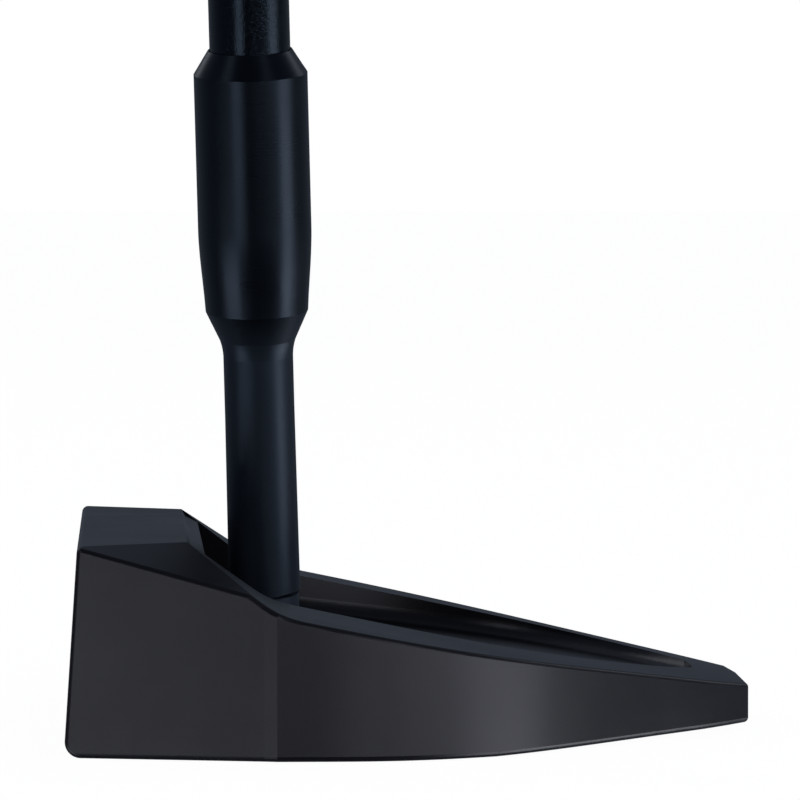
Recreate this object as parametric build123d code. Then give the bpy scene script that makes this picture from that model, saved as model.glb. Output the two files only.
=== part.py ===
from build123d import *

import os
from math import atan2, cos, radians, sin, tan

# Golf putter, right-handed, with a wedge-shaped head on a flat sole.
# Millimetres. +X runs back from the face, +Y towards the toe, +Z up from the sole.
# The head is drawn with X = 0 at the leading edge. Everything is then moved so that the
# origin lies on the flat sole, in the head's centre plane, ORIGIN_X behind that edge.
ORIGIN_X = 12.0

# ---- head, seen from above ----
HEAD_DEPTH = 80.9
FACE_HALF = 48.1
FLARE_END = (22.5, 53.95)
CREASE = (24.0, 54.5)
FLANK = [(38.0, 53.7), (50.0, 47.7), (61.5, 36.9), (72.5, 25.0)]
TAIL_HALF = 14.4

# ---- head, seen from the heel ----
LOFT = 3.7
TOPLINE_Z = 23.95
TOPLINE_BACK_X = 14.07
TOPLINE_FRONT_X = TOPLINE_Z * tan(radians(LOFT))
TOPLINE_FRONT_HALF = 48.0
TOPLINE_BACK_HALF = 38.8
SHOULDER_OUTER = (19.8, 53.4, 18.96)
BACK_SLOPE = 0.735
FLANGE_REF = (28.8, 54.5, 15.4)
FLANGE_SLOPE = 0.203
FLANGE_CROWN = 0.02
BLEND_R = 12.0
SOLE_BACK_X = 49.0
TAIL_LIFT = 1.05

# ---- pocket in the flange ----
POCKET_WAIST = (24.0, 33.5)
POCKET_SIDE = [(46.0, 33.3), (57.0, 28.6), (66.5, 19.5)]
POCKET_END = (75.0, 6.5)
POCKET_STEP = [(14.55, 23.15), (16.1, 22.35)]
POCKET_WALL_FOOT = (18.4, 12.4)
POCKET_FLOOR_END_Z = 5.5
POCKET_WAIST_R = 6.0
POCKET_FOOT_R = 2.0

# ---- edge rounds ----
LEADING_R = 1.8
TOP_FRONT_R = 0.8
# one point near each edge of the upper rim, from the front to the tail, on the toe side
RIM_SPOTS = [
    (10.0, 50.7, 21.5),
    (22.3, 53.8, 18.0),
    (23.2, 54.2, 17.4),
    (25.5, 54.5, 16.1),
    (50.0, 47.7, 11.3),
    (80.9, 7.2, 5.75),
]
RIM_R = 0.5
TAIL_R = 0.8
SOLE_R = 0.6

# ---- face insert ----
INSERT_W, INSERT_H, INSERT_T = 66.0, 14.0, 2.6
INSERT_CORNER_R = 4.0
INSERT_UP = 12.2
INSERT_GAP = 0.08
BOND_T = 0.2
GROOVE_W, GROOVE_DEPTH, GROOVE_PITCH, GROOVE_COUNT = 0.5, 0.25, 1.5, 7

# ---- sole weights ----
WEIGHT_SPOTS = {"heel": (16.5, -35.0), "toe": (16.5, 35.0)}
WEIGHT_R, WEIGHT_T = 12.0, 8.0
REAR_WEIGHT_SPOT = (52.0, 0.0)
REAR_WEIGHT_R, REAR_WEIGHT_T = 13.0, 3.5
WEIGHT_GAP = 0.08
WEIGHT_INSET = 0.6
WEIGHT_EDGE = 0.4
PAD_T = 0.4
PAD_MARGIN = 0.5
WEIGHT_SCREW_R, WEIGHT_SCREW_HEAD_R, WEIGHT_SCREW_HEAD_T = 1.5, 2.8, 1.4
WEIGHT_SCREW_BITE = 3.0
WEIGHT_SCREW_HEX = 2.0
SOCKET_SHARE = 0.65
SCREW_GAP = 0.15
SCREW_HEAD_SINK = 0.3
SCREW_TIP_GAP = 0.4

# ---- hosel ----
LIE_LEAN = 10.0
FORWARD_LEAN = 1.7
HOSEL_FOOT = (23.7, -3.0, 16.4)
AXIS = Vector(-sin(radians(FORWARD_LEAN)), -sin(radians(LIE_LEAN)), cos(radians(LIE_LEAN))).normalized()
POST_COLLAR_R = 4.15
COLLAR_GAP = 0.02
POST_SPIGOT_R = 2.95
POST_FOOT = -8.0
POST_GAP = 0.45
POST_TOP = 24.5
POST_EDGE = 0.5
SLEEVE_BORE_R = 3.05
SLEEVE_LOWER_BORE = 25.5
SLEEVE_FOOT_R = 4.29
NECK_R = 4.16
NECK_FOOT = 22.6
NECK_TOP = 28.6
CONE_FOOT = (30.6, 4.52)
CONE_TOP = (34.1, 6.11)
BULGE_R = 6.74
BULGE_FOOT = 44.2
BULGE_TOP = 62.6
SLEEVE_TOP = (65.4, 5.0)
SLEEVE_SHAFT_BORE_R = 4.86
SHAFT_SEAT = 36.5
BOLT_R, BOLT_HEAD_R, BOLT_HEAD_T = 2.5, 4.25, 2.6
BOLT_TIP = -2.0
BOLT_HEX = 4.0
BOLT_SHELF = -12.2
BOLT_GAP = 0.1
BOLT_HEAD_GAP = 0.35
BOLT_ACCESS = 12.0
WASHER_T = 0.8
GLUE_SHORT = 0.6

# ---- shaft and grip ----
CLUB_LENGTH = 864.0
SHAFT_TIP_R, SHAFT_BUTT_R = 4.78, 7.4
SHAFT_WALL = 0.6
TIP_PARALLEL_END = 180.0
BUTT_PARALLEL_START = 560.0
PLUG_T = 6.0
TAPE_T = 0.15
GRIP_LENGTH = 266.0
CAP_T = 5.0
CAP_STEM_T = 6.0
CAP_EDGE_R = 1.5
VENT_R = 1.0
# Grip sections: share of its length from the foot, width, depth, offset towards the golfer.
GRIP_SECTIONS = [
    (0.0, 20.0, 20.0, 0.0),
    (0.35, 24.0, 24.5, 0.5),
    (0.65, 26.0, 27.5, 1.0),
    (0.87, 27.5, 31.0, 2.2),
    (1.0, 27.0, 30.0, 1.9),
]
GRIP_CORNER_R = 3.5

# ---- cutting solids ----
BIG = 240.0
OVERRUN = 1.0

# ---- limits that sort the head's faces by where they look ----
LEVEL = 0.2
STEEP = 0.9


def box_above(plane):
    """A block that fills everything on the positive side of a plane."""
    return plane * Box(BIG, BIG, BIG, align=(Align.CENTER, Align.CENTER, Align.MIN))


def symmetric_face(half_edges):
    """The flat region bounded by edges drawn for +Y and their mirror images."""
    edges = list(half_edges)
    edges += [mirror(edge, Plane.XZ) for edge in half_edges]
    return make_face(edges)


def hosel_plane(s):
    """The plane across the shaft axis, s millimetres above the foot of the sleeve."""
    origin = Vector(*HOSEL_FOOT) + AXIS * s
    return Plane(origin=origin, x_dir=Vector(1, 0, 0) - AXIS * AXIS.X, z_dir=AXIS)


def rod(radius, low, high):
    """A round bar along the shaft axis between two heights."""
    bar = Cylinder(radius, high - low, align=(Align.CENTER, Align.CENTER, Align.MIN))
    return hosel_plane(low) * bar


def tube(outer, inner, low, high):
    """A round sleeve along the shaft axis between two heights."""
    return rod(outer, low, high) - rod(inner, low, high)


def turned(points):
    """A turned piece on the shaft axis from (radius, height) points."""
    profile = make_face(Polyline(*[(r, 0, s) for r, s in points], close=True))
    return hosel_plane(0) * revolve(profile, Axis.Z)


def upright(radius, spot, low, high):
    """A round bar standing on the sole plane."""
    bar = Cylinder(radius, high - low, align=(Align.CENTER, Align.CENTER, Align.MIN))
    return Pos(*spot, low) * bar


def hex_bar(size, low, high):
    """A hexagonal bar along Z, size across its flats."""
    return Pos(0, 0, low) * extrude(RegularPolygon(size / 2, 6, major_radius=False), high - low)


def face_plane(depth):
    """The plane of the face, or one parallel to it behind it; its own Z points out of the face."""
    tilt = radians(LOFT)
    out = Vector(-cos(tilt), 0, sin(tilt))
    return Plane(origin=out * -depth, x_dir=(0, -1, 0), z_dir=out)


def behind_topline(side):
    """All the space above the back slope and one half of the flange, with the valley rounded."""
    slope = Plane(origin=(TOPLINE_BACK_X, 0, TOPLINE_Z), z_dir=(BACK_SLOPE, 0, 1))
    reference = (FLANGE_REF[0], side * FLANGE_REF[1], FLANGE_REF[2])
    flange = Plane(origin=reference, z_dir=(FLANGE_SLOPE, side * FLANGE_CROWN, 1))
    towards_side = Align.MIN if side > 0 else Align.MAX
    half = Box(BIG, BIG, BIG, align=(Align.MIN, towards_side, Align.CENTER))
    half = Pos(TOPLINE_BACK_X, 0, 0) * half
    space = box_above(slope) & box_above(flange) & half
    valley = space.edges().sort_by_distance(valley_point(slope, flange, side))[0]
    return fillet(valley, BLEND_R)


def valley_point(slope, flange, side):
    """A point on the line where the back slope meets the flange."""
    line = slope.intersect(flange)
    return line.intersect(Plane(origin=(0, side * FACE_HALF, 0), z_dir=(0, 1, 0)))


def head_blank():
    """The outer form of the head, before any pocket or hole."""
    plan = symmetric_face([
        Line((0, 0), (0, FACE_HALF)),
        Line((0, FACE_HALF), FLARE_END),
        Line(FLARE_END, CREASE),
        Spline(CREASE, *FLANK, (HEAD_DEPTH, TAIL_HALF), tangents=[(1, 0), (0.68, -1)]),
        Line((HEAD_DEPTH, TAIL_HALF), (HEAD_DEPTH, 0)),
    ])
    body = extrude(plan, TOPLINE_Z)
    body -= box_above(face_plane(0))

    for side in (1, -1):
        corner_front = Vector(TOPLINE_FRONT_X, side * TOPLINE_FRONT_HALF, TOPLINE_Z)
        corner_back = Vector(TOPLINE_BACK_X, side * TOPLINE_BACK_HALF, TOPLINE_Z)
        outer = Vector(SHOULDER_OUTER[0], side * SHOULDER_OUTER[1], SHOULDER_OUTER[2])
        normal = (corner_back - corner_front).cross(outer - corner_front)
        body -= box_above(Plane(origin=corner_front, z_dir=normal * side))
        body -= behind_topline(side)

    lift = atan2(TAIL_LIFT, HEAD_DEPTH - SOLE_BACK_X)
    under_tail = Plane(origin=(SOLE_BACK_X, 0, 0), z_dir=(sin(lift), 0, -cos(lift)))
    return body - box_above(under_tail)


def edges_at(body, points):
    """The edges nearest to these points, given for the toe side, and to their mirror images."""
    found = []
    for x, y, z in points:
        for side in (1, -1):
            edge = body.edges().sort_by_distance((x, side * y, z))[0]
            if not any(edge.is_same(other) for other in found):
                found.append(edge)
    return found


def meeting_edges(body, first, second):
    """The edges where a face that passes one test meets a face that passes another."""
    sides = [edge for face in body.faces() if first(face) for edge in face.edges()]
    others = [edge for face in body.faces() if second(face) for edge in face.edges()]
    return [edge for edge in sides if any(edge.is_same(other) for other in others)]


def is_front(face):
    return face.normal_at().X < -STEEP


def is_wall(face):
    """True for the upright faces round the head, apart from the front."""
    normal = face.normal_at()
    return abs(normal.Z) < LEVEL and normal.X > -STEEP


def is_lower(face):
    return face.normal_at().Z < -LEVEL


def rounded_blank():
    """The blank with its corners and edges rounded."""
    body = head_blank()
    body = fillet(edges_at(body, [(0, 0, 0)]), LEADING_R)
    body = fillet(edges_at(body, [(TOPLINE_FRONT_X, 0, TOPLINE_Z)]), TOP_FRONT_R)
    body = fillet(edges_at(body, [(HEAD_DEPTH, TAIL_HALF, 2 * TAIL_LIFT)]), TAIL_R)
    body = fillet(edges_at(body, RIM_SPOTS), RIM_R)
    face_ends = meeting_edges(body, is_front, is_wall)
    return fillet(face_ends + meeting_edges(body, is_wall, is_lower), SOLE_R)


def pocket():
    """The milled hollow behind the topline: open at the top, its floor running out at the tail."""
    plan = symmetric_face([
        Line((TOPLINE_BACK_X, 0), (TOPLINE_BACK_X, TOPLINE_BACK_HALF)),
        Line((TOPLINE_BACK_X, TOPLINE_BACK_HALF), POCKET_WAIST),
        Spline(POCKET_WAIST, *POCKET_SIDE, POCKET_END, tangents=[(1, 0), (0.45, -1)]),
        Line(POCKET_END, (POCKET_END[0], 0)),
    ])
    above = TOPLINE_Z + OVERRUN
    beyond = POCKET_END[0] + OVERRUN
    block = extrude(plan, above)
    section = make_face(Polyline(
        (TOPLINE_BACK_X, 0, above + OVERRUN),
        (TOPLINE_BACK_X, 0, TOPLINE_Z),
        *[(x, 0, z) for x, z in POCKET_STEP],
        (POCKET_WALL_FOOT[0], 0, POCKET_WALL_FOOT[1]),
        (beyond, 0, POCKET_FLOOR_END_Z),
        (beyond, 0, above + OVERRUN),
        close=True,
    ))
    hollow = block & extrude(section, BIG / 2, both=True)
    hollow = fillet(edges_at(hollow, [(*POCKET_WAIST, TOPLINE_Z)]), POCKET_WAIST_R)
    floor = hollow.faces().sort_by(Axis.Z)[0]
    foot = [edge for edge in floor.edges() if edge.center().X < POCKET_END[0] - OVERRUN]
    return fillet(foot, POCKET_FOOT_R)


def head_body():
    """The milled head with its recess for the insert, weight holes and seat for the hosel."""
    body = rounded_blank() - pocket()

    recess_t = INSERT_T + BOND_T
    body -= insert_block(INSERT_GAP, -OVERRUN, recess_t)

    for weight in all_weights():
        body -= weight_hole(*weight)

    body -= rod(POST_COLLAR_R, POST_FOOT, POST_GAP)
    body -= rod(BOLT_R + BOLT_GAP, BOLT_SHELF, POST_FOOT)
    return body - rod(BOLT_HEAD_R + BOLT_HEAD_GAP, BOLT_SHELF - BOLT_ACCESS, BOLT_SHELF)


def insert_block(margin, front, back):
    """A rounded block along the face normal, from one depth behind the face to another."""
    centre = face_plane(back) * Pos(0, INSERT_UP, 0)
    outline = RectangleRounded(
        INSERT_W + 2 * margin, INSERT_H + 2 * margin, INSERT_CORNER_R + margin
    )
    return centre * extrude(outline, back - front)


def face_insert():
    """The striking plate, with level grooves milled across it."""
    plate = insert_block(0, 0, INSERT_T)
    for row in range(GROOVE_COUNT):
        up = INSERT_UP + (row - (GROOVE_COUNT - 1) / 2) * GROOVE_PITCH
        groove = Pos(0, up, 0) * Box(INSERT_W - 2 * INSERT_CORNER_R, GROOVE_W, 2 * GROOVE_DEPTH)
        plate -= face_plane(0) * groove
    return plate


def insert_bond():
    """The adhesive film behind the insert."""
    return insert_block(0, INSERT_T, INSERT_T + BOND_T)


def weight_roof(thickness):
    """Height of the roof of a weight's hole above the sole."""
    return WEIGHT_INSET + thickness + PAD_T


def weight_hole(spot, radius, thickness):
    """The blind hole for one sole weight and the thread above it for its screw."""
    roof = weight_roof(thickness)
    hole = upright(radius + WEIGHT_GAP, spot, -OVERRUN, roof)
    return hole + upright(WEIGHT_SCREW_R, spot, roof, roof + WEIGHT_SCREW_BITE)


def sole_weight(spot, radius, thickness):
    """A round weight with a sunk seat for its screw."""
    top = WEIGHT_INSET + thickness
    weight = upright(radius, spot, WEIGHT_INSET, top)
    weight = chamfer(weight.edges().filter_by(GeomType.CIRCLE), WEIGHT_EDGE)
    weight -= upright(WEIGHT_SCREW_R + SCREW_GAP, spot, 0, top)
    return weight - upright(WEIGHT_SCREW_HEAD_R + SCREW_GAP, spot, 0, screw_head_top())


def screw_head_top():
    """Height of the shoulder under a weight screw's head."""
    return WEIGHT_INSET + WEIGHT_SCREW_HEAD_T + SCREW_HEAD_SINK


def weight_pad(spot, radius, thickness):
    """The thin rubber washer above a weight that stops it rattling."""
    low, high = WEIGHT_INSET + thickness, weight_roof(thickness)
    hole = upright(WEIGHT_SCREW_R + PAD_MARGIN, spot, low, high)
    return upright(radius - PAD_MARGIN, spot, low, high) - hole


def weight_screw(spot, radius, thickness):
    """The hex-socket screw that holds one weight."""
    head_top = screw_head_top()
    head_foot = head_top - WEIGHT_SCREW_HEAD_T
    screw = upright(WEIGHT_SCREW_HEAD_R, spot, head_foot, head_top)
    tip = weight_roof(thickness) + WEIGHT_SCREW_BITE - SCREW_TIP_GAP
    screw += upright(WEIGHT_SCREW_R, spot, head_top, tip)
    socket = hex_bar(WEIGHT_SCREW_HEX, head_foot, head_foot + WEIGHT_SCREW_HEAD_T * SOCKET_SHARE)
    return screw - Pos(*spot, 0) * socket


def all_weights():
    """Every sole weight as (spot, radius, thickness)."""
    weights = [(spot, WEIGHT_R, WEIGHT_T) for spot in WEIGHT_SPOTS.values()]
    return weights + [(REAR_WEIGHT_SPOT, REAR_WEIGHT_R, REAR_WEIGHT_T)]


def hosel_post():
    """The pin bolted into the head: a collar below the joint line and a slim spigot above it."""
    post = rod(POST_COLLAR_R - COLLAR_GAP, POST_FOOT, -POST_GAP)
    post += rod(POST_SPIGOT_R, -POST_GAP, POST_TOP)
    post = chamfer(post.edges().filter_by(GeomType.CIRCLE).sort_by(Axis.Z)[-1], POST_EDGE)
    return post - rod(BOLT_R, POST_FOOT, BOLT_TIP + OVERRUN)


def hosel_bolt():
    """The hex-socket bolt that pulls the post into the head from below."""
    head_top = BOLT_SHELF - WASHER_T
    head_foot = head_top - BOLT_HEAD_T
    bolt = rod(BOLT_R, head_top, BOLT_TIP) + rod(BOLT_HEAD_R, head_foot, head_top)
    socket = hex_bar(BOLT_HEX, head_foot, head_foot + BOLT_HEAD_T * SOCKET_SHARE)
    return bolt - hosel_plane(0) * socket


def hosel_washer():
    """The washer under the bolt's head."""
    return tube(BOLT_HEAD_R + BOLT_GAP, BOLT_R + BOLT_GAP, BOLT_SHELF - WASHER_T, BOLT_SHELF)


def post_bond():
    """The adhesive between the post's spigot and the sleeve."""
    return tube(SLEEVE_BORE_R, POST_SPIGOT_R, GLUE_SHORT, POST_TOP - OVERRUN)


def hosel_sleeve():
    """The turned sleeve between the post and the shaft, widest near its top."""
    outline = make_face([
        Line((SLEEVE_BORE_R, 0, 0), (SLEEVE_FOOT_R, 0, 0)),
        Line((SLEEVE_FOOT_R, 0, 0), (NECK_R, 0, NECK_FOOT)),
        Line((NECK_R, 0, NECK_FOOT), (NECK_R, 0, NECK_TOP)),
        ThreePointArc(*fillet_arc()),
        Line((CONE_FOOT[1], 0, CONE_FOOT[0]), (CONE_TOP[1], 0, CONE_TOP[0])),
        Spline(
            (CONE_TOP[1], 0, CONE_TOP[0]), (BULGE_R, 0, BULGE_FOOT),
            tangents=[(0.05, 0, 1), (0, 0, 1)],
        ),
        Line((BULGE_R, 0, BULGE_FOOT), (BULGE_R, 0, BULGE_TOP)),
        Line((BULGE_R, 0, BULGE_TOP), (SLEEVE_TOP[1], 0, SLEEVE_TOP[0])),
        Line((SLEEVE_TOP[1], 0, SLEEVE_TOP[0]), (SLEEVE_SHAFT_BORE_R, 0, SLEEVE_TOP[0])),
        Line((SLEEVE_SHAFT_BORE_R, 0, SLEEVE_TOP[0]), (SLEEVE_SHAFT_BORE_R, 0, SHAFT_SEAT)),
        Line((SLEEVE_SHAFT_BORE_R, 0, SHAFT_SEAT), (0, 0, SHAFT_SEAT)),
        Line((0, 0, SHAFT_SEAT), (0, 0, SLEEVE_LOWER_BORE)),
        Line((0, 0, SLEEVE_LOWER_BORE), (SLEEVE_BORE_R, 0, SLEEVE_LOWER_BORE)),
        Line((SLEEVE_BORE_R, 0, SLEEVE_LOWER_BORE), (SLEEVE_BORE_R, 0, 0)),
    ])
    return hosel_plane(0) * revolve(outline, Axis.Z)


def fillet_arc():
    """Start, middle and end of the concave arc from the neck into the cone."""
    start = Vector(NECK_R, 0, NECK_TOP)
    end = Vector(CONE_FOOT[1], 0, CONE_FOOT[0])
    cone_angle = atan2(CONE_TOP[1] - CONE_FOOT[1], CONE_TOP[0] - CONE_FOOT[0])
    radius = (CONE_FOOT[0] - NECK_TOP) / sin(cone_angle)
    half = cone_angle / 2
    middle = Vector(NECK_R + radius * (1 - cos(half)), 0, NECK_TOP + radius * sin(half))
    return start, middle, end


def shaft_bond():
    """The adhesive between the shaft's tip and the sleeve."""
    return tube(SLEEVE_SHAFT_BORE_R, SHAFT_TIP_R, SHAFT_SEAT + OVERRUN, SLEEVE_TOP[0] - GLUE_SHORT)


def butt_height():
    """Height along the shaft axis of the grip's top end, from the foot of the sleeve."""
    return CLUB_LENGTH - HOSEL_FOOT[2] / cos(radians(LIE_LEAN))


def shaft():
    """The tapered steel tube."""
    end = butt_height() - CAP_T
    outer = [
        (SHAFT_TIP_R, SHAFT_SEAT),
        (SHAFT_TIP_R, TIP_PARALLEL_END),
        (SHAFT_BUTT_R, BUTT_PARALLEL_START),
        (SHAFT_BUTT_R, end),
    ]
    inner = [(r - SHAFT_WALL, s) for r, s in reversed(outer)]
    return turned(outer + inner)


def tip_plug():
    """The nylon plug that closes the shaft's tip."""
    foot = SHAFT_SEAT + OVERRUN
    return rod(SHAFT_TIP_R - SHAFT_WALL, foot, foot + PLUG_T)


def grip_foot():
    """Height along the shaft axis of the grip's lower end."""
    return butt_height() - GRIP_LENGTH


def grip_tape():
    """The double-sided tape wound round the shaft under the grip."""
    low, high = grip_foot() + 2 * OVERRUN, butt_height() - CAP_T
    return tube(SHAFT_BUTT_R + TAPE_T, SHAFT_BUTT_R, low, high)


def grip_section(share, width, depth, back):
    """One cross-section: flat on the toe side for the thumbs, round towards the golfer."""
    plane = hosel_plane(grip_foot() + share * (GRIP_LENGTH - CAP_T))
    flat = depth / 2 - back
    spring = flat - depth + width / 2
    outline = make_face([
        Line((width / 2, spring), (width / 2, flat)),
        Line((width / 2, flat), (-width / 2, flat)),
        Line((-width / 2, flat), (-width / 2, spring)),
        ThreePointArc((-width / 2, spring), (0, spring - width / 2), (width / 2, spring)),
    ])
    corners = outline.vertices().sort_by(Axis.Y)[-2:]
    return plane * fillet(corners, GRIP_CORNER_R)


def grip():
    """The rubber grip, with the bore for the taped shaft."""
    form = loft([grip_section(*section) for section in GRIP_SECTIONS])
    return form - rod(SHAFT_BUTT_R + TAPE_T, grip_foot() - OVERRUN, butt_height())


def grip_cap():
    """The rubber end cap: a stem inside the shaft, a rounded end and a vent hole."""
    top = butt_height()
    stem_foot = top - CAP_T - CAP_STEM_T
    cap = extrude(grip_section(*GRIP_SECTIONS[-1]), CAP_T)
    cap = fillet(cap.faces().sort_by(Axis.Z)[-1].edges(), CAP_EDGE_R)
    cap += rod(SHAFT_BUTT_R - SHAFT_WALL, stem_foot, top - CAP_T)
    return cap - rod(VENT_R, stem_foot - OVERRUN, top + OVERRUN)


def main():
    weights = all_weights()
    names = list(WEIGHT_SPOTS) + ["rear"]
    nodes = {
        "head_body": head_body(),
        "face_insert": face_insert(),
        "insert_bond": insert_bond(),
        **{f"{name}_weight": sole_weight(*weight) for name, weight in zip(names, weights)},
        "weight_pads": Part() + [weight_pad(*weight) for weight in weights],
        "weight_screws": Part() + [weight_screw(*weight) for weight in weights],
        "hosel_post": hosel_post(),
        "hosel_bolt": hosel_bolt(),
        "hosel_washer": hosel_washer(),
        "post_bond": post_bond(),
        "hosel_sleeve": hosel_sleeve(),
        "shaft_bond": shaft_bond(),
        "tip_plug": tip_plug(),
        "shaft": shaft(),
        "grip_tape": grip_tape(),
        "grip": grip(),
        "grip_cap": grip_cap(),
    }
    os.makedirs("parts", exist_ok=True)
    for name, shape in nodes.items():
        export_step(Pos(-ORIGIN_X, 0, 0) * shape, f"parts/{name}.step")


main()
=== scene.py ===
import math

import bpy
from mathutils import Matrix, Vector
from mathutils.bvhtree import BVHTree


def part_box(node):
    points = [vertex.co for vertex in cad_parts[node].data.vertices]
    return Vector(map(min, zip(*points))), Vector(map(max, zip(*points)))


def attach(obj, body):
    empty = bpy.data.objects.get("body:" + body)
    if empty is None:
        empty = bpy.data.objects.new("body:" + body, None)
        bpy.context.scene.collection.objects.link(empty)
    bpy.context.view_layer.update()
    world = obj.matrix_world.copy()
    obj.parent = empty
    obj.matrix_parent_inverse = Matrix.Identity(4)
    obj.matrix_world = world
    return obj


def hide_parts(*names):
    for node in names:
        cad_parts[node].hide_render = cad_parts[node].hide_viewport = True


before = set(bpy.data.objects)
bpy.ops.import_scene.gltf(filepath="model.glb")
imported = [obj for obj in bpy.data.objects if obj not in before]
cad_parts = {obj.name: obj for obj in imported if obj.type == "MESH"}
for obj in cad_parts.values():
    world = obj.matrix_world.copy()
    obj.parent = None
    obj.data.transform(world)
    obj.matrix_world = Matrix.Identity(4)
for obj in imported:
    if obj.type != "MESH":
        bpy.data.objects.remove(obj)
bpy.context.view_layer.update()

# A black putter with a deep wedge-shaped head, a turned hosel sleeve, a painted steel shaft and
# a rubber grip, shown upright on its sole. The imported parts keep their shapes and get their
# finishes here. Only the grip is made again, because its moulded pattern needs a finer mesh.

MM = 0.001

# camera: where it aims, from which side, and how far away it stands
AIM_SHARE = 0.495
AIM_HEIGHT = 38.93 * MM
CAMERA_YAW = math.radians(2.46)
CAMERA_PITCH = math.radians(1.81)
CAMERA_RANGE = 0.771
LENS = 287.8
SENSOR_WIDTH = 36.0
CLIP_NEAR, CLIP_FAR = 0.01, 100

# stage: the floor lies just under the sole, and the world is darkest behind the camera
WHITE = (1.0, 1.0, 1.0)
ROOM_TONE = (0.66, 0.78, 1.0)
ROOM_DARK, ROOM_BRIGHT = 0.02, 0.125
ROOM_TURN = (-1, 0.6)
FLOOR_SIZE = 60.0
FLOOR_GAP = 0.02 * MM

# grip: the moulded pattern
GRIP_RING_STEP = 0.7 * MM
GRIP_POINTS_AROUND = 144
GRIP_SMOOTH_END = 9 * MM
GRIP_FADE = 2 * MM
GRIP_LIP = 1.6 * MM
GRIP_RADIUS = 12 * MM
OUTSIDE_GRIP = 40 * MM
RIB_PITCH = 5.0 * MM
RIB_DEPTH = 0.45 * MM
RIB_GROOVE = 1.6 * MM
DIAMOND_PITCH = 6.5 * MM
DIAMOND_DEPTH = 0.4 * MM
DIAMOND_GROOVE = 1.5 * MM
# the ribs start where the sine of the angle passes this, and reach full depth quickly
FLAT_START = 0.62
FLAT_EDGE = 4

# the middle of the grip's back, as an angle round it from the tail's side towards the toe
BACK_TURN = 1.5 * math.pi

# points this near a rim count as on it
RIM_MARGIN = 0.05 * MM

# hosel: the neck's painted sheen, a paler colour standing in for highlights, is full from NECK_DEPTH
# below the shaft's tip down, and fades out upwards to CONE_DEPTH below it
NECK_DEPTH = 6 * MM
CONE_DEPTH = 2 * MM
NECK_ROUGHER = 0.1
RING_PITCH = 0.22 * MM
BLUE = (0.52, 0.7, 1.0)
SLEEVE_DARK = (0.0006, 0.001, 0.0018)
SLEEVE_LIGHT = (0.0012, 0.0018, 0.003)
# painted sheen: the neck's paler colour stands in for highlights
NECK_PAINTED_SHEEN = (0.012, 0.017, 0.026)
POST_DARK = (0.026, 0.034, 0.05)
POST_LIGHT = (0.034, 0.044, 0.066)

# face insert: the cutter's centre lies this far below it, and its arcs are this far apart
CUTTER_DROP = 60 * MM
ARC_PITCH = 0.55 * MM


# ---------------------------------------------------------------- node helpers

def node(tree, kind, inputs=None, **settings):
    """Adds a shader node, sets its properties, and links or sets its inputs."""
    made = tree.nodes.new("ShaderNode" + kind)
    for name, value in settings.items():
        setattr(made, name, value)
    for socket, value in (inputs or {}).items():
        if isinstance(value, bpy.types.NodeSocket):
            tree.links.new(value, made.inputs[socket])
        else:
            made.inputs[socket].default_value = value
    return made


def places(tree):
    """The point on the surface, in metres."""
    return node(tree, "TexCoord").outputs["Object"]


def scaled(tree, vector, factors):
    """The vector with each part multiplied by its factor."""
    return node(tree, "VectorMath", {0: vector, 1: factors}, operation="MULTIPLY").outputs[0]


def noise(tree, at, size, detail=2.0):
    """Soft noise whose features are about size metres across, from 0 to 1."""
    inputs = {"Vector": at, "Scale": 1 / size, "Detail": detail}
    return node(tree, "TexNoise", inputs).outputs["Fac"]


def lines(tree, distance, pitch, detail=2.0):
    """Uneven parallel lines, pitch metres apart along a distance."""
    inputs = {"W": distance, "Scale": 1 / pitch, "Detail": detail}
    return node(tree, "TexNoise", inputs, noise_dimensions="1D").outputs["Fac"]


def along(tree, at, direction):
    """How far a point lies along a direction."""
    inputs = {0: at, 1: direction}
    return node(tree, "VectorMath", inputs, operation="DOT_PRODUCT").outputs["Value"]


def radius_from(tree, at, centre, plane):
    """How far a point lies from centre when only the axes marked 1 in plane count."""
    offset = node(tree, "VectorMath", {0: at, 1: centre}, operation="SUBTRACT").outputs[0]
    flat = scaled(tree, offset, plane)
    return node(tree, "VectorMath", {0: flat}, operation="LENGTH").outputs["Value"]


def remap(tree, value, low, high, start=0.3, end=0.7):
    """Low where the value is at start, high where it is at end, and held beyond them."""
    inputs = {"Value": value, "From Min": start, "From Max": end, "To Min": low, "To Max": high}
    return node(tree, "MapRange", inputs).outputs[0]


def times(tree, first, second):
    return node(tree, "Math", {0: first, 1: second}, operation="MULTIPLY").outputs[0]


def added(tree, first, second):
    return node(tree, "Math", {0: first, 1: second}, operation="ADD").outputs[0]


def blended(tree, factor, first, second):
    """A colour between first and second, each a socket or three numbers."""
    mix = node(tree, "Mix", {0: factor}, data_type="RGBA")
    for socket, value in ((mix.inputs[6], first), (mix.inputs[7], second)):
        if isinstance(value, bpy.types.NodeSocket):
            tree.links.new(value, socket)
        else:
            socket.default_value = (*value, 1.0)
    return mix.outputs[2]


def bumped(tree, height, depth, normal=None):
    """The normal of a surface whose height varies by depth metres."""
    inputs = {"Height": height, "Distance": depth, "Strength": 1.0}
    if normal is not None:
        inputs["Normal"] = normal
    return node(tree, "Bump", inputs).outputs[0]


def material(name, tint=WHITE, ior=1.5, metallic=0.0):
    """A new material, with its node tree and its Principled shader."""
    made = bpy.data.materials.new(name)
    made.use_nodes = True
    shader = made.node_tree.nodes["Principled BSDF"]
    shader.inputs["IOR"].default_value = ior
    shader.inputs["Metallic"].default_value = metallic
    shader.inputs["Specular Tint"].default_value = (*tint, 1.0)
    return made, made.node_tree, shader


def connect(tree, shader, colour, roughness, normal):
    tree.links.new(colour, shader.inputs["Base Color"])
    tree.links.new(roughness, shader.inputs["Roughness"])
    tree.links.new(normal, shader.inputs["Normal"])


# ---------------------------------------------------------------- the shaft line

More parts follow.
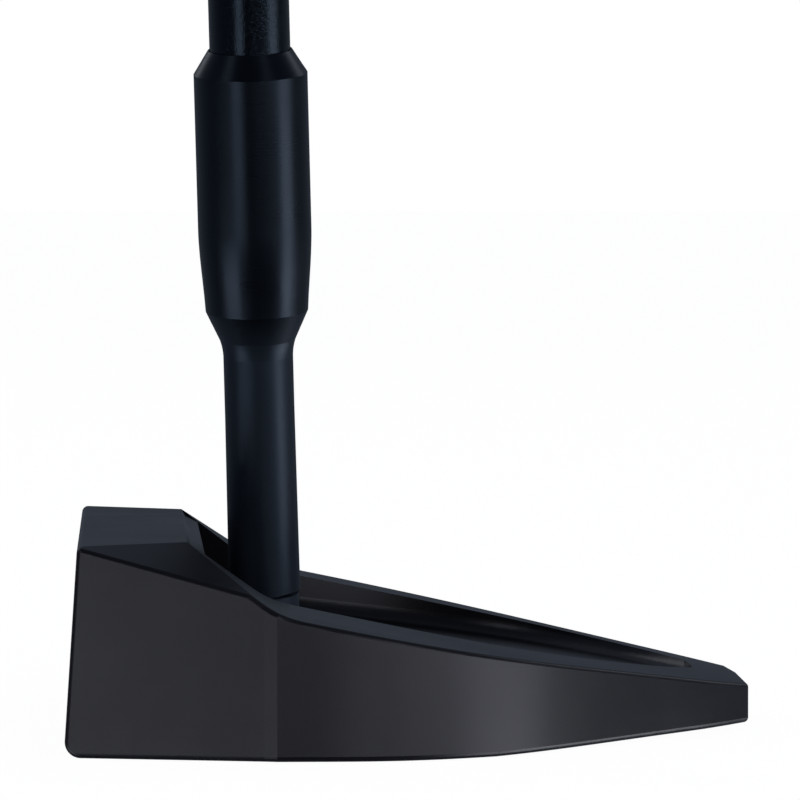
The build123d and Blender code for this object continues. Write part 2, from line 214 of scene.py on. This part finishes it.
def end_centre(name, direction, side):
    """The middle of a turned part's top (side 1) or bottom (side -1) rim."""
    points = [v.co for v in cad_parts[name].data.vertices]
    reach = max(side * p.dot(direction) for p in points)
    rim = [p for p in points if side * p.dot(direction) > reach - RIM_MARGIN]
    return sum(rim, Vector()) / len(rim)


def middle(name):
    """The middle of a node's box."""
    low, high = (Vector(corner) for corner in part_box(name))
    return (low + high) / 2


ROUGH_AXIS = (middle("grip_tape") - middle("hosel_sleeve")).normalized()
SHAFT_FOOT = end_centre("shaft", ROUGH_AXIS, -1)
SHAFT_TOP = end_centre("shaft", ROUGH_AXIS, 1)
AXIS = (SHAFT_TOP - SHAFT_FOOT).normalized()
ACROSS = (Vector((1, 0, 0)) - AXIS * AXIS.x).normalized()
TOEWARD = AXIS.cross(ACROSS)


# ---------------------------------------------------------------- finishes

def anodised_head():
    """Black anodised aluminium: cutter passes along the walls under a fine blasted grain."""
    made, tree, shader = material("black_anodised", tint=(0.86, 0.87, 1.0), ior=1.6)
    at = places(tree)
    cloud = noise(tree, at, 14 * MM, 3)
    grain = noise(tree, at, 0.16 * MM, 2)
    passes = noise(tree, scaled(tree, at, (0.02, 0.02, 1.0)), 0.3 * MM, 2)
    colour = blended(tree, remap(tree, cloud, 0, 1), (0.007, 0.007, 0.009), (0.010, 0.0095, 0.012))
    speck = blended(tree, remap(tree, grain, 0, 0.5), colour, (0.014, 0.014, 0.017))
    roughness = added(tree, remap(tree, cloud, 0.29, 0.34), remap(tree, passes, -0.008, 0.008))
    relief = bumped(tree, passes, 0.0008 * MM)
    relief = bumped(tree, grain, 0.004 * MM, relief)
    connect(tree, shader, speck, roughness, relief)
    return made


def milled_insert():
    """Black anodised face with the arcs that a fly cutter leaves."""
    made, tree, shader = material("milled_face", tint=(0.86, 0.88, 1.0), ior=1.6)
    at = places(tree)
    low, high = (Vector(corner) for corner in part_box("face_insert"))
    centre = Vector((0, (low.y + high.y) / 2, low.z - CUTTER_DROP))
    reach = radius_from(tree, at, centre, (0, 1, 1))
    phase = times(tree, reach, 2 * math.pi / ARC_PITCH)
    arcs = node(tree, "Math", {0: phase}, operation="SINE").outputs[0]
    grain = noise(tree, at, 0.12 * MM, 2)
    share = remap(tree, arcs, 0, 1, -1, 1)
    colour = blended(tree, share, (0.028, 0.028, 0.031), (0.055, 0.055, 0.06))
    relief = bumped(tree, arcs, 0.003 * MM)
    relief = bumped(tree, grain, 0.002 * MM, relief)
    connect(tree, shader, colour, remap(tree, grain, 0.32, 0.4), relief)
    return made


def turned_metal(name, dark, light, roughness, neck=None):
    """Metal turned on the shaft line: fine rings under a soft grain, with a painted sheen, a paler
    colour standing in for highlights, on a slim neck.
    """
    made, tree, shader = material(name, tint=BLUE, ior=1.6)
    at = places(tree)
    rings = lines(tree, along(tree, at, AXIS), RING_PITCH, 3)
    grain = noise(tree, at, 0.18 * MM, 2)
    cloud = noise(tree, at, 9 * MM, 3)
    colour = blended(tree, remap(tree, cloud, 0, 1), dark, light)
    rough = remap(tree, cloud, roughness, roughness + 0.05)
    rough = added(tree, rough, remap(tree, rings, -0.015, 0.015))
    if neck is not None:
        level = added(tree, along(tree, at, AXIS), -SHAFT_FOOT.dot(AXIS))
        # the neck's painted sheen: a paler colour blended in that stands in for highlights
        colour = blended(tree, remap(tree, level, 1, 0, -NECK_DEPTH, -CONE_DEPTH), colour, neck)
        extra = remap(tree, level, NECK_ROUGHER, 0, -NECK_DEPTH, -CONE_DEPTH)
        rough = added(tree, rough, extra)
    relief = bumped(tree, rings, 0.0004 * MM)
    relief = bumped(tree, grain, 0.003 * MM, relief)
    connect(tree, shader, colour, rough, relief)
    return made


def shaft_paint():
    """Gloss black paint with a sparkling orange-peel skin."""
    made, tree, shader = material("gloss_black_paint", tint=(0.5, 0.7, 1.0), ior=1.55)
    at = places(tree)
    peel = noise(tree, at, 0.55 * MM, 2)
    spark = noise(tree, at, 0.2 * MM, 1)
    colour = blended(tree, remap(tree, peel, 0, 1), (0.0015, 0.0022, 0.0035), (0.004, 0.005, 0.0075))
    relief = bumped(tree, peel, 0.012 * MM)
    relief = bumped(tree, spark, 0.022 * MM, relief)
    connect(tree, shader, colour, remap(tree, peel, 0.15, 0.22), relief)
    return made


def brushed_weight():
    """Blackened steel discs, each brushed in rings about its own centre."""
    made, tree, shader = material("blackened_steel", metallic=1.0, ior=1.5)
    at = places(tree)
    reach = None
    for name in ("heel_weight", "toe_weight", "rear_weight"):
        found = radius_from(tree, at, middle(name), (1, 1, 0))
        if reach is None:
            reach = found
        else:
            reach = node(tree, "Math", {0: reach, 1: found}, operation="MINIMUM").outputs[0]
    rings = lines(tree, reach, 0.25 * MM, 3)
    scuff = noise(tree, scaled(tree, at, (0.15, 1.0, 1.0)), 0.8 * MM, 4)
    colour = blended(tree, remap(tree, rings, 0, 1), (0.2, 0.2, 0.21), (0.33, 0.33, 0.34))
    worn = blended(tree, remap(tree, scuff, 0, 0.6, 0.6, 0.75), colour, (0.48, 0.48, 0.49))
    relief = bumped(tree, rings, 0.003 * MM)
    connect(tree, shader, worn, remap(tree, rings, 0.3, 0.42), relief)
    return made


def black_oxide():
    """Oiled black-oxide screw steel."""
    made, tree, shader = material("black_oxide_steel", metallic=1.0)
    at = places(tree)
    blotch = noise(tree, at, 1.5 * MM, 4)
    grain = noise(tree, at, 0.15 * MM, 2)
    colour = blended(tree, remap(tree, blotch, 0, 1), (0.05, 0.05, 0.055), (0.12, 0.12, 0.125))
    connect(tree, shader, colour, remap(tree, blotch, 0.3, 0.45), bumped(tree, grain, 0.002 * MM))
    return made


def rubber(name, dark, light, pore):
    """Matt moulded rubber with a fine pebbled skin."""
    made, tree, shader = material(name, ior=1.5)
    shader.inputs["Sheen Weight"].default_value = 0.08
    at = places(tree)
    skin = noise(tree, at, pore, 3)
    cloud = noise(tree, at, 25 * MM, 3)
    colour = blended(tree, remap(tree, cloud, 0, 1), dark, light)
    dusty = blended(tree, remap(tree, skin, 0, 0.3), colour, tuple(3 * part for part in light))
    connect(tree, shader, dusty, remap(tree, cloud, 0.62, 0.74), bumped(tree, skin, 0.03 * MM))
    return made


def cured_glue():
    """Amber adhesive with small bubbles."""
    made, tree, shader = material("cured_adhesive", ior=1.5)
    at = places(tree)
    bubbles = node(tree, "TexVoronoi", {"Vector": at, "Scale": 1 / (0.9 * MM)}).outputs["Distance"]
    cloud = noise(tree, at, 4 * MM, 3)
    colour = blended(tree, remap(tree, cloud, 0, 1), (0.42, 0.36, 0.22), (0.6, 0.54, 0.4))
    connect(tree, shader, colour, remap(tree, cloud, 0.3, 0.45), bumped(tree, bubbles, 0.03 * MM))
    return made


def nylon():
    """Pale moulded nylon with faint flow marks."""
    made, tree, shader = material("moulded_nylon", ior=1.53)
    at = places(tree)
    flow = noise(tree, scaled(tree, at, (1.0, 1.0, 0.3)), 1.6 * MM, 3)
    skin = noise(tree, at, 0.2 * MM, 2)
    colour = blended(tree, remap(tree, flow, 0, 1), (0.62, 0.6, 0.52), (0.74, 0.72, 0.65))
    connect(tree, shader, colour, remap(tree, flow, 0.4, 0.52), bumped(tree, skin, 0.005 * MM))
    return made


def paper_tape():
    """Creped paper tape wound round the shaft."""
    made, tree, shader = material("creped_paper", ior=1.45)
    at = places(tree)
    creases = lines(tree, along(tree, at, AXIS), 0.6 * MM, 4)
    fibre = noise(tree, at, 0.4 * MM, 4)
    colour = blended(tree, remap(tree, fibre, 0, 1), (0.52, 0.49, 0.42), (0.68, 0.66, 0.6))
    connect(tree, shader, colour, remap(tree, fibre, 0.8, 0.9), bumped(tree, creases, 0.05 * MM))
    return made


# ---------------------------------------------------------------- the grip

def groove(distance, pitch, width):
    """The depth of a rounded groove that repeats every pitch, from 0 on the land to 1."""
    off = abs((distance / pitch + 0.5) % 1.0 - 0.5) * pitch
    return max(0.0, 1 - (off / (width / 2)) ** 2)


def grip_relief(height, length, around, flat_share):
    """How deep the mould pattern is cut at a height and an angle round the grip."""
    edge = min(height, length - height)
    fade = min(1.0, max(0.0, (edge - GRIP_SMOOTH_END) / GRIP_FADE))
    if flat_share > 0:
        return fade * flat_share * RIB_DEPTH * groove(height, RIB_PITCH, RIB_GROOVE)
    run = around * GRIP_RADIUS
    rising = groove((height + run) * math.sqrt(0.5), DIAMOND_PITCH, DIAMOND_GROOVE)
    falling = groove((height - run) * math.sqrt(0.5), DIAMOND_PITCH, DIAMOND_GROOVE)
    return fade * DIAMOND_DEPTH * max(rising, falling)


def closed_mesh(name, rings):
    """A mesh from rings of points that close round on themselves both ways."""
    count = len(rings[0])
    points = [point for ring in rings for point in ring]
    faces = []
    for i in range(len(rings)):
        j = (i + 1) % len(rings)
        for k in range(count):
            m = (k + 1) % count
            faces.append((i * count + k, i * count + m, j * count + m, j * count + k))
    mesh = bpy.data.meshes.new(name)
    mesh.from_pydata(points, [], faces)
    mesh.polygons.foreach_set("use_smooth", [True] * len(faces))
    mesh.update()
    made = bpy.data.objects.new(name, mesh)
    bpy.context.scene.collection.objects.link(made)
    return made


def moulded_grip():
    """The rubber grip: the CAD grip's outer form with ribs on its flat and diamonds behind."""
    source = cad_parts["grip"]
    form = BVHTree.FromPolygons(
        [v.co for v in source.data.vertices],
        [p.vertices for p in source.data.polygons],
    )
    foot = end_centre("grip", AXIS, -1)
    length = (end_centre("grip", AXIS, 1) - foot).dot(AXIS)
    start = SHAFT_FOOT + AXIS * (foot - SHAFT_FOOT).dot(AXIS)
    tape = end_centre("grip_tape", AXIS, 1)
    bore = max((v.co - tape - AXIS * (v.co - tape).dot(AXIS)).length
               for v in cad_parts["grip_tape"].data.vertices)
    count = GRIP_POINTS_AROUND
    turns = [2 * math.pi * k / count for k in range(count)]
    spokes = [ACROSS * math.cos(turn) + TOEWARD * math.sin(turn) for turn in turns]
    steps = round(length / GRIP_RING_STEP)
    rings = []
    for i in range(steps + 1):
        height = length * i / steps
        probe = min(max(height, RIM_MARGIN), length - RIM_MARGIN)
        centre = start + AXIS * height
        ring = []
        for turn, spoke in zip(turns, spokes):
            hit = form.ray_cast(start + AXIS * probe + spoke * OUTSIDE_GRIP, -spoke)[0]
            reach = (hit - start - AXIS * probe).length
            level = max(0.0, math.sin(turn) - FLAT_START) / (1 - FLAT_START)
            reach -= grip_relief(height, length, turn - BACK_TURN, min(1, FLAT_EDGE * level))
            lip = max(0.0, 1 - height / GRIP_LIP)
            reach -= GRIP_LIP * (1 - math.sqrt(max(0.0, 1 - lip * lip)))
            ring.append(centre + spoke * reach)
        rings.append(ring)
    for height in (length, 0.0):
        rings.append([start + AXIS * height + spoke * bore for spoke in spokes])
    return closed_mesh("moulded_grip", rings)


# ---------------------------------------------------------------- stage

def aimed(thing, place, target):
    """Puts a camera or light at a place, turned to look at the target."""
    thing.location = place
    thing.rotation_mode = "QUATERNION"
    thing.rotation_quaternion = (Vector(target) - Vector(place)).to_track_quat("-Z", "Y")
    bpy.context.scene.collection.objects.link(thing)


def panel(name, azimuth, distance, width, low, high, radiance):
    """An upright soft panel that faces the hosel, between two heights.

    Azimuth 0 is the camera's side and 90 the tail's.
    """
    light = bpy.data.lights.new(name, "AREA")
    light.shape = "RECTANGLE"
    light.size, light.size_y = width, high - low
    light.energy = radiance * math.pi * width * (high - low)
    turn = math.radians(azimuth)
    holder = bpy.data.objects.new(name, light)
    target = Vector((SHAFT_FOOT.x, SHAFT_FOOT.y, (low + high) / 2))
    aimed(holder, target + Vector((math.sin(turn), -math.cos(turn), 0)) * distance, target)
    holder.visible_camera = False


def white_room():
    """A world that shows white and lights the object dimly, darkest behind the camera."""
    world = bpy.data.worlds.new("studio")
    bpy.context.scene.world = world
    world.use_nodes = True
    tree = world.node_tree
    tree.nodes.clear()
    way = node(tree, "TexCoord").outputs["Generated"]
    depth = along(tree, way, (0, 1, 0))
    dim = remap(tree, depth, ROOM_DARK, ROOM_BRIGHT, *ROOM_TURN)
    seen = node(tree, "LightPath").outputs["Is Camera Ray"]
    strength = node(tree, "Mix", {0: seen, 2: dim, 3: 1.0}, data_type="FLOAT").outputs[0]
    tone = blended(tree, seen, ROOM_TONE, WHITE)
    back = node(tree, "Background", {"Color": tone, "Strength": strength})
    out = node(tree, "OutputWorld")
    tree.links.new(back.outputs[0], out.inputs["Surface"])


def pale_floor():
    """A plain white floor that takes only a faint shadow."""
    mesh = bpy.data.meshes.new("floor")
    half = FLOOR_SIZE / 2
    corners = [(-half, -half, 0), (half, -half, 0), (half, half, 0), (-half, half, 0)]
    mesh.from_pydata(corners, [], [(0, 1, 2, 3)])
    floor = bpy.data.objects.new("floor", mesh)
    floor.location.z = -FLOOR_GAP
    bpy.context.scene.collection.objects.link(floor)
    for rays in ("visible_diffuse", "visible_glossy", "visible_shadow"):
        setattr(floor, rays, False)
    made, tree, shader = material("pale_floor")
    shader.inputs["Base Color"].default_value = (0.16, 0.16, 0.16, 1)
    shader.inputs["Roughness"].default_value = 0.9
    shader.inputs["Emission Color"].default_value = (1, 1, 1, 1)
    shader.inputs["Emission Strength"].default_value = 0.97
    mesh.materials.append(made)


def camera():
    """The camera, low on the heel side, looking at the head and the hosel."""
    low, high = (Vector(corner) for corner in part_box("head_body"))
    aim = Vector((low.x + AIM_SHARE * (high.x - low.x), 0, AIM_HEIGHT))
    way = Vector((
        math.sin(CAMERA_YAW) * math.cos(CAMERA_PITCH),
        math.cos(CAMERA_YAW) * math.cos(CAMERA_PITCH),
        -math.sin(CAMERA_PITCH),
    ))
    lens = bpy.data.cameras.new("camera")
    lens.lens = LENS
    lens.sensor_width = SENSOR_WIDTH
    lens.clip_start, lens.clip_end = CLIP_NEAR, CLIP_FAR
    holder = bpy.data.objects.new("camera", lens)
    aimed(holder, aim - way * CAMERA_RANGE, aim)
    bpy.context.scene.camera = holder


# ---------------------------------------------------------------- the scene

FINISHES = {
    "head": anodised_head(),
    "insert": milled_insert(),
    # the sleeve's neck gets a painted sheen, a paler colour standing in for highlights
    "sleeve": turned_metal("black_turned_sleeve", SLEEVE_DARK, SLEEVE_LIGHT, 0.27, NECK_PAINTED_SHEEN),
    "post": turned_metal("blued_post", POST_DARK, POST_LIGHT, 0.4),
    "shaft": shaft_paint(),
    "weight": brushed_weight(),
    "screw": black_oxide(),
    "pad": rubber("pad_rubber", (0.012, 0.012, 0.012), (0.02, 0.02, 0.02), 0.3 * MM),
    "grip": rubber("grip_rubber", (0.026, 0.026, 0.028), (0.04, 0.04, 0.042), 0.35 * MM),
    "bond": cured_glue(),
    "plug": nylon(),
    "tape": paper_tape(),
}

camera()
white_room()
pale_floor()

# name, azimuth in degrees, then distance, width, lowest and highest point in metres, radiance
panel("heel_panel", -30, 0.4, 0.142, -0.1, 0.03, 1.05)
panel("low_heel_panel", -60, 0.4, 0.28, -0.35, -0.11, 1.35)
panel("hosel_panel", 71, 0.4, 0.16, -0.1, 0.03, 1.45)
panel("low_hosel_panel", 80, 0.4, 0.26, -0.35, -0.1, 1.9)
panel("front_panel", 12, 1.2, 0.45, -0.12, 0.3, 1.25)
panel("flank_panel", 44, 1.2, 0.84, -0.12, 0.3, 1.3)
panel("edge_panel", 101, 0.4, 0.18, -0.22, -0.09, 1.4)
panel("tail_panel", 84, 1.2, 0.21, -0.12, 0.3, 0.6)
for corner in (35, 125, 215, 305):
    panel(f"upper_panel_{corner}", corner, 1.6, 0.5, 0.5, 1.5, 0.6)
bpy.context.scene.view_settings.view_transform = "Standard"

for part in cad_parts.values():
    for slot in part.material_slots:
        slot.material = FINISHES[slot.name]

grip = moulded_grip()
grip.data.materials.append(FINISHES["grip"])
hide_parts("grip")
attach(grip, "root")
